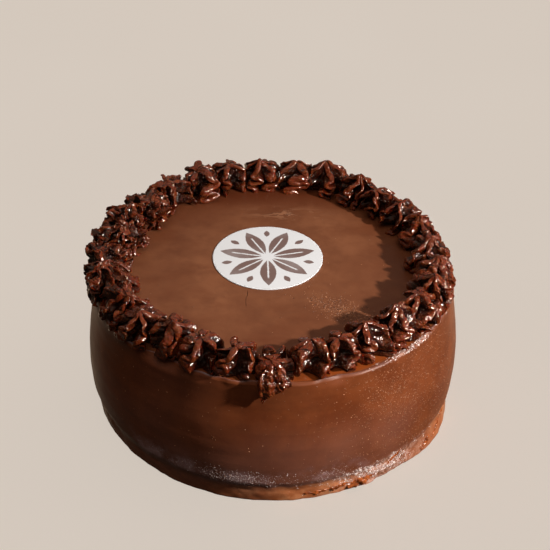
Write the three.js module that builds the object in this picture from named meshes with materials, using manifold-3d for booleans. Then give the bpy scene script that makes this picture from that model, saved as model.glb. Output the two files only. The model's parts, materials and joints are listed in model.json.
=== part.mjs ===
// A round chocolate layer cake of the sachertorte kind, uncut: a tall drum coated in
// smooth ganache, a printed sugar disc lying on its top, and a ring of star-piped
// dollops standing round the top edge, one of which droops over the front.
//
// Millimetres, +Z up. The origin is the centre of the flat underside, and the front
// of the cake, where the drooping dollop is, faces -Y.

import * as THREE from 'three';
import { mergeVertices } from 'three/addons/utils/BufferGeometryUtils.js';
import Module from 'manifold-3d';

const TAU = 2 * Math.PI;
const radians = (degrees) => THREE.MathUtils.degToRad(degrees);

// ---------------------------------------------------------------- driving sizes

const TOP = 78.5;               // height of the flat top, which everything rests on
const EDGE_RADIUS = 101.8;      // drum radius at the top edge
const BELLY_RADIUS = 107.4;     // drum radius at its widest, a third of the way up
const FOOT_RADIUS = 105.2;      // drum radius in the tuck just above the underside

const LIP_HEIGHT = 0.5;         // thin ridge left by the palette knife at the top edge
const LIP_WIDTH = 2.4;          // from the edge inwards to the flat top
const BROW_HEIGHT = 13.5;       // of the brow over the tucked foot
const DRUM_SEGMENTS = 120;

const DISC_RADIUS = 31.8;
const DISC_THICKNESS = 0.6;
const DISC_CENTRE = new THREE.Vector2(-3.5, 9.9);

const RING_RADIUS = 91.4;       // of the circle that the dollops stand on
const RING_CENTRE = new THREE.Vector2(-2.4, 0.6);
const DOLLOP_RADIUS = 10.4;     // to the outside of a ridge, where a dollop is widest
const DOLLOP_HEIGHT = 17.6;
const GAP = 0.3;                // kept between neighbours
const FIRST_ANGLE = 3;          // degrees from +X, anticlockwise seen from above

// They were piped by hand, so they stand unevenly: degrees from each dollop to the next,
// and how far each stands outside or inside the circle.
const STEPS = [
  17, 11, 13, 11, 14, 13, 13, 13, 12, 12, 17, 11, 11, 12, 13,
  16, 12, 11, 12, 12, 11, 13, 9, 12, 11, 14, 10, 14, 10,
];
const OUTWARD = [
  -1, 1, -1, -2, -1, 2, 0, 0, 1, -1, 0, -2, 0, -1, 1,
  3, 0, 1, -1, 0, 1, 5, -1, -1, -2, -2, 1, 1, 2,
];
const DROOPING = 21;            // the dollop that hangs over the front edge

// The left of the ring was piped with a heavier hand: these run further in and out, hang
// out over the edge, and are ruffled into more ridges.
const HEAVY = { angle: radians(185), width: radians(42), extra: 0.28, overhang: 2.0 };
const RUFFLED = { angle: radians(172), width: radians(40), moreRidges: 3.4 };

// At the front right they spread further outwards, and just past them they stand lower.
const BROAD = { angle: radians(-35), width: radians(26), extra: 0.3 };
const LOWER = { angle: radians(14), width: radians(20), share: 0.16 };
const INWARD_EXTRA = 0.12;      // how much further in than out a lightly piped one runs

// ---------------------------------------------------------------- small helpers

// A repeatable random number from 0 to 1.
function makeRandom(seed) {
  let state = seed;
  return () => {
    state = (state * 1664525 + 1013904223) % 4294967296;
    return state / 4294967296;
  };
}

// A rounded bump of height 1 about an angle, the short way round.
function bump(angle, { angle: middle, width }) {
  const turn = Math.atan2(Math.sin(angle - middle), Math.cos(angle - middle));
  return Math.exp(-((turn / width) ** 2));
}

// Leaves a distance alone up to `start`, then eases it towards `limit`, which it never
// reaches, so that a shape pressed against a plane stays one to one.
function press(distance, start, limit) {
  if (distance <= start) return distance;
  const room = limit - start;
  return start + room * (1 - Math.exp((start - distance) / room));
}

// A closed solid through rings of equal length, from the lowest to the highest, with a
// fan of triangles to a point at each end.
function closedLoft(rings, lowPoint, highPoint) {
  const count = rings[0].length;
  const points = [lowPoint, ...rings.flat(), highPoint];
  const at = (ring, k) => 1 + ring * count + (k % count);
  const last = points.length - 1;
  const faces = [];
  for (let k = 0; k < count; k += 1) {
    faces.push(0, at(0, k + 1), at(0, k));
    for (let ring = 0; ring < rings.length - 1; ring += 1) {
      faces.push(at(ring, k), at(ring, k + 1), at(ring + 1, k + 1));
      faces.push(at(ring, k), at(ring + 1, k + 1), at(ring + 1, k));
    }
    faces.push(at(rings.length - 1, k), at(rings.length - 1, k + 1), last);
  }
  const geometry = new THREE.BufferGeometry().setFromPoints(points);
  geometry.setIndex(faces);
  geometry.computeVertexNormals();
  return geometry;
}

// ---------------------------------------------------------------- the drum

// How far the top edge stands out from, or in from, its circle: in two slow waves, and
// where the knife took it in over the last few millimetres.
const DENT_REACH = 7;
const DENTS = [
  { angle: radians(-124), width: radians(6), depth: 4.2 },
  { angle: radians(-69), width: radians(7), depth: 2.2 },
  { angle: radians(20), width: radians(8), depth: 1.2 },
  { angle: radians(140), width: radians(9), depth: 1.5 },
  { angle: radians(-160), width: radians(7), depth: 1.3 },
];
const EDGE_WAVES = [{ count: 2, height: 0.45, phase: 0.6 }, { count: 5, height: 0.3, phase: 1.9 }];
const edgeWaves = (angle) => EDGE_WAVES.reduce(
  (sum, { count, height, phase }) => sum + height * Math.sin(count * angle + phase), 0);
const edgeDents = (angle) => DENTS.reduce((sum, dent) => sum - dent.depth * bump(angle, dent), 0);

// Height and radius up the wall: a tucked foot, a belly low down, and a lean inwards
// to the top edge.
const WALL = [
  [0, FOOT_RADIUS - 1.4],
  [1.4, FOOT_RADIUS + 0.3],
  [5, FOOT_RADIUS - 0.2],
  [BROW_HEIGHT - 2.6, FOOT_RADIUS],
  [BROW_HEIGHT + 1.8, BELLY_RADIUS - 0.6],
  [26, BELLY_RADIUS],
  [38, BELLY_RADIUS - 0.4],
  [50, BELLY_RADIUS - 1.9],
  [62, EDGE_RADIUS + 1.6],
  [TOP - DENT_REACH, EDGE_RADIUS + 0.4],
  [TOP - 3.5, EDGE_RADIUS + 0.1],
  [TOP - 1, EDGE_RADIUS],
];

// The wall's own slow unevenness, which turns a little as it climbs.
const WALL_WAVES = [
  { count: 3, height: 0.35, climb: 1 / 40, phase: 0 },
  { count: 4, height: 0.25, climb: -1 / 25, phase: 2 },
];
const wallShift = (angle, z) => WALL_WAVES.reduce(
  (sum, { count, height, climb, phase }) => sum + height * Math.sin(count * angle + climb * z + phase), 0);

// The foot spreads at the front right, where the coat ran while it was wet.
const FLARE = { angle: radians(-30), width: radians(14), out: 4.2 };
const footFlare = (angle, z) => FLARE.out * bump(angle, FLARE) * Math.max(1 - z / BROW_HEIGHT, 0) ** 1.3;

// The drum, or the drum grown on the wall and the lip but not on its flat top.
function drumGeometry(grow = 0) {
  const ring = (z, radius) => Array.from({ length: DRUM_SEGMENTS }, (_, k) => {
    const angle = (k / DRUM_SEGMENTS) * TAU;
    const upper = THREE.MathUtils.smoothstep(z, 0.55 * TOP, TOP);
    const dented = THREE.MathUtils.smoothstep(z, TOP - DENT_REACH, TOP) ** 2;
    const shift = upper * edgeWaves(angle) + (1 - upper) * wallShift(angle, z) + dented * edgeDents(angle);
    const r = radius + shift + footFlare(angle, z) + grow;
    return new THREE.Vector3(r * Math.cos(angle), r * Math.sin(angle), z);
  });
  const rings = WALL.map(([z, radius]) => ring(z, radius));
  rings.push(ring(TOP + 0.7 * LIP_HEIGHT + grow, EDGE_RADIUS - 0.4));
  rings.push(ring(TOP + LIP_HEIGHT + grow, EDGE_RADIUS - 1.1 - grow));
  rings.push(ring(TOP + 0.3 * LIP_HEIGHT + grow, EDGE_RADIUS - 2.1 - 2 * grow));
  rings.push(ring(TOP, EDGE_RADIUS - LIP_WIDTH - 2 * grow));
  return closedLoft(rings, new THREE.Vector3(0, 0, 0), new THREE.Vector3(0, 0, TOP));
}

// ---------------------------------------------------------------- the printed disc

function discGeometry() {
  const outline = new THREE.Shape().absarc(DISC_CENTRE.x, DISC_CENTRE.y, DISC_RADIUS, 0, TAU);
  return new THREE.ExtrudeGeometry(outline, {
    depth: DISC_THICKNESS,
    bevelEnabled: false,
    curveSegments: 72,
  });
}

// ---------------------------------------------------------------- the dollops

const DOLLOP_ROWS = 11;
const SWELL = 0.07;             // how much one ridge outdoes another
const TIP_LEAN = 1.25;          // how far the tip leans past the dollop's own lean

// The radius of a ridge's crest over the dollop's height, 0 at the foot and 1 at the
// tip: a foot drawn in a little, full at a fifth of the height, and a dome above.
function crestProfile(t) {
  const foot = 1 - 0.10 * (1 - Math.min(t / 0.2, 1)) ** 2;
  const rise = Math.max(t - 0.2, 0) / 0.8;
  return foot * (1 - rise ** 3.4) ** 0.55;
}

// How deep the valley between two ridges cuts, as a share of the crest's radius.
const valleyDepth = (t) => 0.40 + 0.18 * Math.sin(Math.PI * Math.min(1, t + 0.15));

// The drooping dollop sits low. Its ridges stand at hand-set angles from what faces
// outwards, anticlockwise seen from above, and most of them form the star that stays up.
// Its front has shallow valleys, so that it hangs as one folded skirt.
const SLUMP = {
  height: 0.64,
  spokes: [0, 50, 108, 162, 199, 240, 300].map(radians),
  frontValleys: 0.35,
};

// Where each dollop stands, and how it differs from the next one.
function placeDollops() {
  const random = makeRandom(8);
  const dollops = [];
  let angle = FIRST_ANGLE;
  for (let index = 0; index < STEPS.length; index += 1) {
    const turn = radians(angle);
    const drooping = index === DROOPING;
    const moreRidges = Math.round(RUFFLED.moreRidges * bump(turn, RUFFLED));
    const radius = RING_RADIUS + OUTWARD[index]
      + RING_CENTRE.x * Math.cos(turn) + RING_CENTRE.y * Math.sin(turn);
    dollops.push({
      name: `dollop_${String(index + 1).padStart(2, '0')}`,
      drooping,
      turn,
      foot: new THREE.Vector2(radius * Math.cos(turn), radius * Math.sin(turn)),
      ridges: (random() < 0.6 ? 6 : 5) + moreRidges,
      start: random() * TAU,
      twist: 0.35 + 0.5 * random(),
      wobble: 0.12 + 0.1 * random(),
      height: DOLLOP_HEIGHT * (0.95 + 0.1 * random() - LOWER.share * bump(turn, LOWER)),
      lean: new THREE.Vector2(random() - 0.5, random() - 0.5).multiplyScalar(2.4),
      phase: random() * TAU,
    });
    angle += STEPS[index];
  }
  dollops[DROOPING].height *= SLUMP.height;
  return dollops;
}

// Spreads a dollop towards a neighbour that stands further off, and presses its points
// back from the planes half-way to both neighbours. Its foot stops inside the lip, and
// above the lip it may lean out.
const OVERHANG = { slope: 1.3, most: 6 };
const SPREAD = 1.3;             // how eagerly a dollop fills the room it has
function fitAmongNeighbours(point, dollop, neighbours) {
  for (const neighbour of neighbours) {
    const apart = neighbour.foot.clone().sub(dollop.foot);
    const limit = apart.length() / 2 - GAP / 2;
    const spread = Math.max(1, SPREAD * limit / DOLLOP_RADIUS);
    apart.normalize();
    const reach = (point.x - dollop.foot.x) * apart.x + (point.y - dollop.foot.y) * apart.y;
    const move = press(Math.max(reach, reach * spread), 0.75 * limit, limit) - reach;
    point.x += move * apart.x;
    point.y += move * apart.y;
  }
  if (dollop.drooping) return point;
  const fromAxis = Math.hypot(point.x, point.y);
  const angle = Math.atan2(point.y, point.x);
  const rise = Math.min(OVERHANG.slope * (point.z - TOP), OVERHANG.most);
  const overhang = rise * (1 + HEAVY.overhang * bump(angle, HEAVY) / OVERHANG.most);
  const lip = EDGE_RADIUS + edgeWaves(angle) + edgeDents(angle) - LIP_WIDTH - GAP;
  const scale = press(fromAxis, lip + overhang - 2, lip + overhang) / fromAxis;
  point.x *= scale;
  point.y *= scale;
  return point;
}

// The directions of a dollop's crests, each followed by that of the valley after it.
function directions(dollop) {
  const even = Array.from({ length: dollop.ridges }, (_, k) => dollop.start + (k / dollop.ridges) * TAU);
  const crests = dollop.drooping ? SLUMP.spokes.map((spoke) => dollop.turn - dollop.twist + spoke) : even;
  return crests.flatMap((crest, k) => {
    const next = k + 1 < crests.length ? crests[k + 1] : crests[0] + TAU;
    return [crest, (crest + next) / 2];
  });
}

// A star-piped dollop: crests and valleys take turns round it, twist as they rise, and
// sway from side to side.
function dollopGeometry(dollop, neighbours) {
  const heavy = bump(dollop.turn, HEAVY);
  const stretchIn = 1 + INWARD_EXTRA * (1 - heavy);
  const stretchOut = 1 + BROAD.extra * bump(dollop.turn, BROAD);
  const around = directions(dollop);
  const rings = [];
  for (let row = 0; row < DOLLOP_ROWS; row += 1) {
    const t = row / DOLLOP_ROWS;
    rings.push(around.map((direction, column) => {
      const sway = dollop.wobble * Math.sin(7 * t + dollop.phase + 1.7 * column);
      const angle = direction + dollop.twist * t + sway - dollop.turn;
      const swell = 1 + SWELL * Math.sin(dollop.phase + 2.1 * column);
      const isFront = dollop.drooping && Math.cos(direction - dollop.turn + dollop.twist) > 0;
      const cut = column % 2 === 1 ? 1 - valleyDepth(t) * (isFront ? SLUMP.frontValleys : 1) : 1;
      const r = DOLLOP_RADIUS * crestProfile(t) * swell * cut;
      const outward = r * Math.cos(angle) * (1 + HEAVY.extra * heavy);
      const stretched = outward * (outward < 0 ? stretchIn : stretchOut);
      const offset = new THREE.Vector2(stretched, r * Math.sin(angle))
        .rotateAround(new THREE.Vector2(), dollop.turn)
        .addScaledVector(dollop.lean, t * t);
      const point = new THREE.Vector3(
        dollop.foot.x + offset.x,
        dollop.foot.y + offset.y,
        TOP + dollop.height * t,
      );
      return fitAmongNeighbours(droop(point, dollop), dollop, neighbours);
    }));
  }
  const low = new THREE.Vector3(dollop.foot.x, dollop.foot.y, TOP);
  const high = new THREE.Vector3(
    dollop.foot.x + TIP_LEAN * dollop.lean.x,
    dollop.foot.y + TIP_LEAN * dollop.lean.y,
    TOP + dollop.height,
  );
  return closedLoft(rings, droop(low, dollop), droop(high, dollop));
}

// The drooping dollop's front is stretched outwards, bends down round the corner of the
// cake and hangs there thinner, drawn in to a tail on the left of its middle.
const DROOP = { corner: 100.5, bend: 3.6, furthest: 1.45, front: 9, stretch: 0.35, thin: 0.55 };
const TAIL = { x: -4.4, width: 3, length: 3, reach: 18, gather: 0.15 };
function droop(point, dollop) {
  if (!dollop.drooping) return point;
  const { smoothstep } = THREE.MathUtils;
  const ahead = dollop.foot.y - point.y;
  const out = ahead * (1 + DROOP.stretch * smoothstep(ahead, 0, DROOP.front)) - dollop.foot.y;
  const fromTail = point.x - dollop.foot.x - TAIL.x;
  const hem = THREE.MathUtils.clamp(1.1 - Math.abs(fromTail / TAIL.reach) ** 1.5, 0.15, 1);
  const laid = Math.max(out - DROOP.corner, 0) * hem;
  const tail = Math.exp(-((fromTail / TAIL.width) ** 2));
  const past = laid + TAIL.length * tail * smoothstep(laid, 3, 9);
  if (past === 0) return point.setY(-out);
  const high = (point.z - TOP) * (1 - DROOP.thin * smoothstep(past, 0, 7));
  const turn = Math.min(past / DROOP.bend, DROOP.furthest);
  const reach = DROOP.bend + high;
  return point.set(
    point.x - TAIL.gather * fromTail * smoothstep(past, 3, 11),
    -(DROOP.corner + reach * Math.sin(turn)),
    TOP - DROOP.bend + reach * Math.cos(turn) - (past - turn * DROOP.bend),
  );
}

const wasm = await Module();
wasm.setup();

function toManifold(geometry) {
  const bare = geometry.clone();
  bare.deleteAttribute('normal');
  const merged = mergeVertices(bare);
  return new wasm.Manifold(new wasm.Mesh({
    numProp: 3,
    vertProperties: new Float32Array(merged.attributes.position.array),
    triVerts: new Uint32Array(merged.index.array),
  }));
}

// Cuts away what the drooping dollop would share with the drum, with a gap at the wall.
function clearOfDrum(geometry) {
  const { vertProperties, triVerts } = toManifold(geometry)
    .subtract(toManifold(drumGeometry(GAP)))
    .getMesh();
  const cut = new THREE.BufferGeometry();
  cut.setAttribute('position', new THREE.BufferAttribute(vertProperties, 3));
  cut.setIndex(new THREE.BufferAttribute(triVerts, 1));
  cut.computeVertexNormals();
  return cut;
}

// ---------------------------------------------------------------- assembly

const GANACHE = { color: 0x5a3220, roughness: 0.45, metalness: 0 };
const PIPING = { color: 0x2e140c, roughness: 0.3, metalness: 0 };
const SUGAR = { color: 0xe1dcda, roughness: 0.6, metalness: 0 };

function part(name, geometry, finish) {
  const mesh = new THREE.Mesh(geometry, new THREE.MeshStandardMaterial(finish));
  mesh.name = name;
  return mesh;
}

const cake = new THREE.Group();
cake.add(part('drum', drumGeometry(), GANACHE));

const disc = part('printed_disc', discGeometry(), SUGAR);
disc.position.z = TOP;
cake.add(disc);

const dollops = placeDollops();
dollops.forEach((dollop, index) => {
  const neighbours = [
    dollops[(index + 1) % dollops.length],
    dollops[(index + dollops.length - 1) % dollops.length],
  ];
  const whole = dollopGeometry(dollop, neighbours);
  cake.add(part(dollop.name, dollop.drooping ? clearOfDrum(whole) : whole, PIPING));
});

export default cake;
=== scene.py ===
"""The looks of a round chocolate cake: a ganache coat, a ring of star-piped dollops, a printed
sugar disc, and the small grains and smears of a coat spread by hand.

Sizes here are in millimetres, as in the part's source, and become metres when a mesh is
made. A place round the cake is an angle in degrees from +X, anticlockwise seen from above,
and a width in degrees. The front, where one dollop droops over the edge, faces -Y.
"""

import json
import math
from functools import partial

import bpy
import numpy as np
from mathutils import Matrix, Vector

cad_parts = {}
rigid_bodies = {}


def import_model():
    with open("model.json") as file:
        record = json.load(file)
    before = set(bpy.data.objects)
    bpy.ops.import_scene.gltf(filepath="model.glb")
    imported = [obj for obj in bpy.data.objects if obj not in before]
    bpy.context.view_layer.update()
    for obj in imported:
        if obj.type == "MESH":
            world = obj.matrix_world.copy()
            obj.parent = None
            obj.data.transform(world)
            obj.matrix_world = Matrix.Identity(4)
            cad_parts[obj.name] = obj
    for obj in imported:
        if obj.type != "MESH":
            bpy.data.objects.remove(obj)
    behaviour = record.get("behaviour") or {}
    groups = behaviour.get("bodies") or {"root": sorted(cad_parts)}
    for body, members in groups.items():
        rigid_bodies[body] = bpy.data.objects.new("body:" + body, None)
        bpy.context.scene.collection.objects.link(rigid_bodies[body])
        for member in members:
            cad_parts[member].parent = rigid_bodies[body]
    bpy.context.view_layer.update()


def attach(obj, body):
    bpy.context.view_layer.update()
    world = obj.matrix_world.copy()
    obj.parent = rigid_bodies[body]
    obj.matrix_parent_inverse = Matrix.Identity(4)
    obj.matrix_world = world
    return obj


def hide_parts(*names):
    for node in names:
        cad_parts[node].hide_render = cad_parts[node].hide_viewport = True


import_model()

MM = 0.001
TAU = 2 * math.pi

DISC_RADIUS, DISC_THICKNESS, DISC_CENTRE = 31.8, 0.6, (-3.5, 9.9)


# ---- camera

VIEW_HEIGHT = 40.445      # degrees above the floor, seen from the middle of the cake's foot
VIEW_DISTANCE = 699.77
VIEW_PAN, VIEW_TILT, VIEW_ROLL = -0.0771, 4.892, -0.8856
SENSOR, LENS = 24.0, 50.0
NEAREST, FURTHEST = 0.01, 20.0      # metres


def make_camera():
    """Stands in front of the cake looking at its foot, then pans, tilts up and rolls."""
    height = math.radians(VIEW_HEIGHT)
    place = VIEW_DISTANCE * MM * Vector((0, -math.cos(height), math.sin(height)))
    forward = -place.normalized()
    right = Vector((1, 0, 0))
    up = right.cross(forward)
    pan = Matrix.Rotation(math.radians(VIEW_PAN), 3, up)
    forward, right = pan @ forward, pan @ right
    tilt = Matrix.Rotation(math.radians(VIEW_TILT), 3, right)
    forward, up = tilt @ forward, tilt @ up
    roll = Matrix.Rotation(math.radians(VIEW_ROLL), 3, forward)
    right, up = roll @ right, roll @ up
    data = bpy.data.cameras.new("camera")
    data.sensor_width = SENSOR
    data.lens = LENS
    data.clip_start, data.clip_end = NEAREST, FURTHEST
    camera = bpy.data.objects.new("camera", data)
    camera.matrix_world = Matrix.Translation(place) @ Matrix((right, up, -forward)).transposed().to_4x4()
    bpy.context.scene.collection.objects.link(camera)
    bpy.context.scene.camera = camera


make_camera()


# ---- shape helpers

LATTICE = 32              # random values along each side of the cube that noise repeats


def smooth(x, low, high):
    """0 below low, 1 above high, and an S-curve between them."""
    t = np.clip((x - low) / (high - low), 0, 1)
    return t * t * (3 - 2 * t)


def bell(x, middle, width):
    """A rounded bump of height 1 that has sunk to 1/e at this width from its middle."""
    return np.exp(-(((x - middle) / width) ** 2))


def bump(angle, middle, width):
    """The same about a place round the cake, the short way round."""
    turn = angle - math.radians(middle)
    return bell(np.arctan2(np.sin(turn), np.cos(turn)), 0, math.radians(width))


def patches(angle, places):
    """The sum of bumps that each have a middle, a width and a height."""
    return sum(height * bump(angle, middle, width) for middle, width, height in places)


def noise(points, size, seed):
    """Random values from -1 to 1 on a lattice with this spacing, blended with an S-curve
    along each axis, so that the value changes smoothly from point to point."""
    lattice = np.random.default_rng(seed).uniform(-1, 1, (LATTICE,) * 3)
    cell = np.asarray(points, float) / size
    base = np.floor(cell).astype(int)
    part = cell - base
    part = part * part * (3 - 2 * part)
    total = 0.0
    for corner in np.ndindex(2, 2, 2):
        weight = np.where(np.array(corner) == 1, part, 1 - part).prod(-1)
        at = (base + corner) % LATTICE
        total = total + weight * lattice[at[..., 0], at[..., 1], at[..., 2]]
    return total


def points_at(angle, radius, height):
    """Points by their angle round the axis, their distance from it and their height."""
    place = np.broadcast_arrays(radius * np.cos(angle), radius * np.sin(angle), height)
    return np.stack(place, -1)


def polar(points):
    """The angle of each point round the axis, and its distance from it."""
    x, y = points[..., 0], points[..., 1]
    return np.arctan2(y, x), np.hypot(x, y)


def ring_faces(rows, columns):
    """Faces of four corners between rings of points, and the fans of three that close the
    first ring on the point after them all and the last ring on the one after that."""
    here = np.arange(rows * columns).reshape(rows, columns)
    beside = np.roll(here, -1, axis=1)
    quads = np.stack([here[:-1], beside[:-1], beside[1:], here[1:]], -1).reshape(-1, 4)
    pole = np.full(columns, rows * columns)
    first = np.stack([pole, beside[0], here[0]], -1)
    last = np.stack([here[-1], beside[-1], pole + 1], -1)
    return quads, np.concatenate([first, last])


def make_object(name, points, quads, fans, values=None, rounded=True):
    """A mesh of faces with four corners and with three, smooth-shaded unless its sides are
    to look flat. values holds a number for each point under each name."""
    faces = np.concatenate([np.ravel(quads), np.ravel(fans)]).astype(np.int32)
    corners = np.repeat([4, 3], [len(quads), len(fans)])
    mesh = bpy.data.meshes.new(name)
    mesh.vertices.add(len(points))
    mesh.vertices.foreach_set("co", (np.asarray(points) * MM).astype(np.float32).ravel())
    mesh.loops.add(len(faces))
    mesh.loops.foreach_set("vertex_index", faces)
    mesh.polygons.add(len(corners))
    mesh.polygons.foreach_set("loop_start", (np.cumsum(corners) - corners).astype(np.int32))
    mesh.polygons.foreach_set("use_smooth", np.full(len(corners), rounded))
    mesh.update(calc_edges=True)
    for key, numbers in (values or {}).items():
        attribute = mesh.attributes.new(key, "FLOAT", "POINT")
        attribute.data.foreach_set("value", np.asarray(numbers, np.float32).ravel())
    mesh.validate()
    made = bpy.data.objects.new(name, mesh)
    bpy.context.scene.collection.objects.link(made)
    return made


def closed_grid(name, grid, low, high, values=None):
    """A closed form through rings of points: grid[row, column], rows from the low pole to
    the high pole and columns anticlockwise seen from above, with a fan at each pole."""
    rows, columns = grid.shape[:2]
    points = np.concatenate([grid.reshape(-1, 3), [low], [high]])
    flat = {}
    for key, numbers in (values or {}).items():
        numbers = np.broadcast_to(numbers, (rows, columns))
        flat[key] = np.concatenate([numbers.ravel(), [numbers[0].mean(), numbers[-1].mean()]])
    return make_object(name, points, *ring_faces(rows, columns), flat)


def dress(made, material, slot, *nodes):
    """Gives a piece its material, ties it to the cake and hides the solids that it stands for."""
    made.data.materials.append(material)
    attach(made, "root")
    if nodes:
        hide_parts(*nodes)
    return made


# ---- shader helpers

def is_socket(value):
    """Whether a value is the output of a node and not a plain number or tuple."""
    return isinstance(value, bpy.types.NodeSocket)


def set_inputs(node, inputs):
    """Links each input that is given a socket, and sets any other."""
    for key, value in inputs.items():
        if is_socket(value):
            node.id_data.links.new(value, node.inputs[key])
        else:
            node.inputs[key].default_value = value


def add(tree, kind, inputs=None, **settings):
    """Adds one shader node."""
    node = tree.nodes.new("ShaderNode" + kind)
    for key, value in settings.items():
        setattr(node, key, value)
    set_inputs(node, inputs or {})
    return node


def new_material(name):
    """A material, its nodes, and its principled shader, whose inputs the caller sets."""
    material = bpy.data.materials.new(name)
    material.use_nodes = True
    tree = material.node_tree
    return material, tree, tree.nodes["Principled BSDF"]


def maths(operation, a, b=0.0):
    """One arithmetic step on two values, at least one of them a socket."""
    tree = (a if is_socket(a) else b).id_data
    return add(tree, "Math", {0: a, 1: b}, operation=operation).outputs[0]


times, plus = partial(maths, "MULTIPLY"), partial(maths, "ADD")
minus, larger = partial(maths, "SUBTRACT"), partial(maths, "MAXIMUM")


def ramp(value, low, high, to_low=0.0, to_high=1.0):
    """Carries a value from one range to another with an S-curve, held at both ends."""
    inputs = {"Value": value, "From Min": low, "From Max": high, "To Min": to_low, "To Max": to_high}
    return add(value.id_data, "MapRange", inputs, interpolation_type="SMOOTHSTEP").outputs["Result"]


def mix(factor, a, b):
    """Mixes two colours, each a socket or a tuple."""
    a, b = (colour if is_socket(colour) else (*colour, 1) for colour in (a, b))
    return add(factor.id_data, "Mix", {0: factor, 6: a, 7: b}, data_type="RGBA").outputs[2]


def noise_of(vector, scale, detail=3.0, roughness=0.5, distortion=0.0):
    """Cloudy noise from 0 to 1, its scale in features to the metre."""
    inputs = {"Vector": vector, "Scale": scale, "Detail": detail, "Roughness": roughness,
              "Distortion": distortion}
    return add(vector.id_data, "TexNoise", inputs).outputs["Fac"]


def stretched(vector, scale):
    """The same place with each axis stretched by its own amount."""
    return add(vector.id_data, "Mapping", {"Vector": vector, "Scale": scale}).outputs["Vector"]


def relief(height, distance, strength=1.0, under=None):
    """Bump from a height of 0 to 1 that stands distance millimetres, over another bump."""
    inputs = {"Height": height, "Distance": distance * MM, "Strength": strength}
    if under is not None:
        inputs["Normal"] = under
    return add(height.id_data, "Bump", inputs).outputs["Normal"]


def value_of(tree, name):
    """A number that the mesh holds for each of its points."""
    return add(tree, "Attribute", attribute_name=name, attribute_type="GEOMETRY").outputs["Fac"]


def flat_place(vector):
    """The X and the Y of a place, in millimetres."""
    split = add(vector.id_data, "SeparateXYZ", {"Vector": vector}).outputs
    return times(split[0], 1 / MM), times(split[1], 1 / MM)


# ---- finishes of coat and piping

CRACK_X, CRACK_ENDS, CRACK_WIDTH = -14.6, (-36, -23), 0.35
CRACK_WANDER, CRACK_FADE = 5.0, 2      # how wide it wanders, and half of what its ends fade over

WALL_COLOURS = (0.114, 0.0246, 0.0062), (0.162, 0.0395, 0.0110)
TOP_COLOURS = (0.128, 0.0400, 0.0158), (0.207, 0.075, 0.0320)
# The foot's orange: the thin coat's own colour, with painted bounce light from below.
THIN_COAT_AND_BOUNCE_COLOURS = (0.36, 0.100, 0.031), (0.56, 0.215, 0.092)
STREAK_COLOUR, STROKE_COLOUR = (0.18, 0.052, 0.018), (0.128, 0.037, 0.0135)
# Darker and redder near the dollops: fat come out, most at the back, and painted shade from the dollops on
# the front right.
FAT_AND_SHADE_COLOUR, RIM_COLOUR = (0.080, 0.0165, 0.0045), (0.225, 0.047, 0.0085)
TORN_COLOUR, MOTTLE_COLOUR = (0.24, 0.100, 0.050), (0.080, 0.023, 0.009)
# The haze is a painted grey sheen. The crack is a real dark line.
CRACK_COLOUR, HAZE_SHEEN_COLOUR = (0.045, 0.012, 0.005), (0.215, 0.108, 0.088)
# A painted grey sheen low on the wall above the brow, and painted glints in it.
SHEEN_COLOUR, PAINTED_GLINT_COLOUR = (0.37, 0.23, 0.235), (0.50, 0.40, 0.42)
# The lip's crest gets a painted grey sheen, and the wet coat painted pale glints between its crinkles.
LIP_SHEEN_COLOUR, WET_GLINT_COLOUR = (0.20, 0.150, 0.160), (0.50, 0.27, 0.205)

# Painted shade: the valleys are darkened to near black where the blades shade each other.
VALLEY_SHADE_COLOUR, CREST_COLOUR = (0.014, 0.0015, 0.0004), (0.098, 0.0138, 0.0032)
WARM_COLOUR = (0.160, 0.033, 0.008)


def crack_line(place, top):
    """1 along a thin wandering crack in the top, in front of the disc, and 0 beside it."""
    x, y = flat_place(place)
    near, far = CRACK_ENDS
    wander = times(minus(noise_of(place, 130), 0.5), CRACK_WANDER)
    away = maths("ABSOLUTE", plus(minus(x, CRACK_X), wander))
    far_end = ramp(y, far + CRACK_FADE, far - CRACK_FADE)
    near_end = ramp(y, near - CRACK_FADE, near + CRACK_FADE)
    return times(top, times(ramp(away, CRACK_WIDTH, 0.0), times(far_end, near_end)))


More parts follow.
